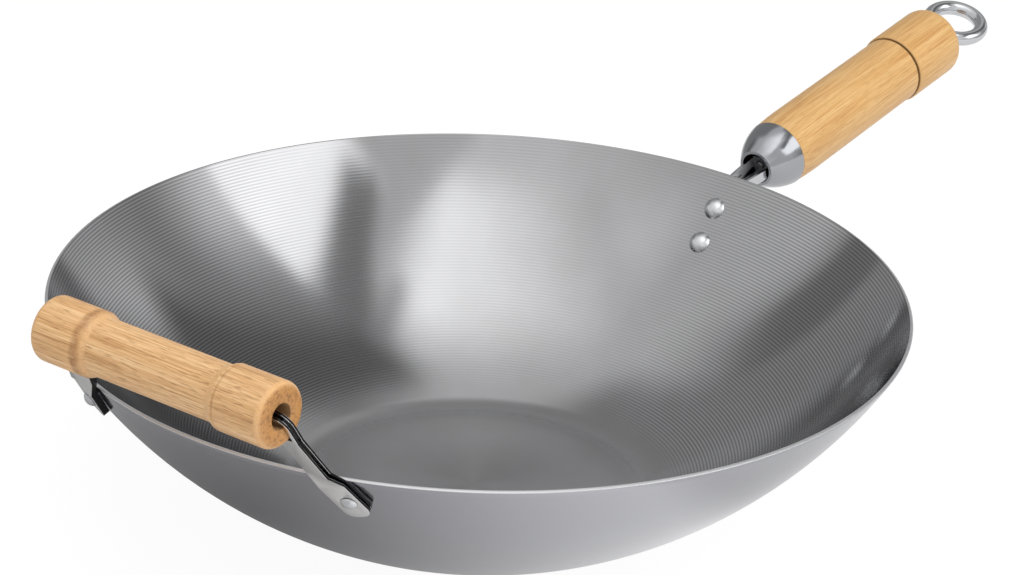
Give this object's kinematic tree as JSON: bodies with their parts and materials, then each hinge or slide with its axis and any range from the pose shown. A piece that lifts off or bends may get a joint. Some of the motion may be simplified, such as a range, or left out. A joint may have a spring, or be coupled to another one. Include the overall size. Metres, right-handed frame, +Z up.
{
  "type": "wok",
  "caption": "Spun carbon steel wok with a flat base, a long turned wooden handle that ends in a hanging loop, and a wooden roller helper handle on a folded steel bracket.",
  "frame": {"origin": "centre of the underside of the flat base", "axes": "+Z up along the bowl's axis, +X along the long handle, the helper handle on the -X side"},
  "size_m": [0.5809, 0.3554, 0.1341],
  "materials": {
    "carbon_steel": "spun, uncoated",
    "plated_steel": "bright plated",
    "rivet_steel": "bright",
    "dark_steel": "black oxide",
    "beech": "sanded, clear coat"
  },
  "bodies": {
    "wok": {"bowl": "carbon_steel", "handle_tang": "plated_steel", "handle_rivets": "rivet_steel", "ferrule": "plated_steel", "long_grip": "beech", "tie_rod": "dark_steel", "tang_nut": "dark_steel", "hanging_loop": "plated_steel", "helper_bracket": "plated_steel", "helper_rivets": "rivet_steel"},
    "roller": {"helper_grip": "beech"}
  },
  "joints": [
    {"name": "roller_spin", "type": "hinge", "parent": "wok", "child": "roller", "pos_m": [-0.191, 0, 0.1208], "axis": [0, 1, 0], "continuous": true}
  ]
}
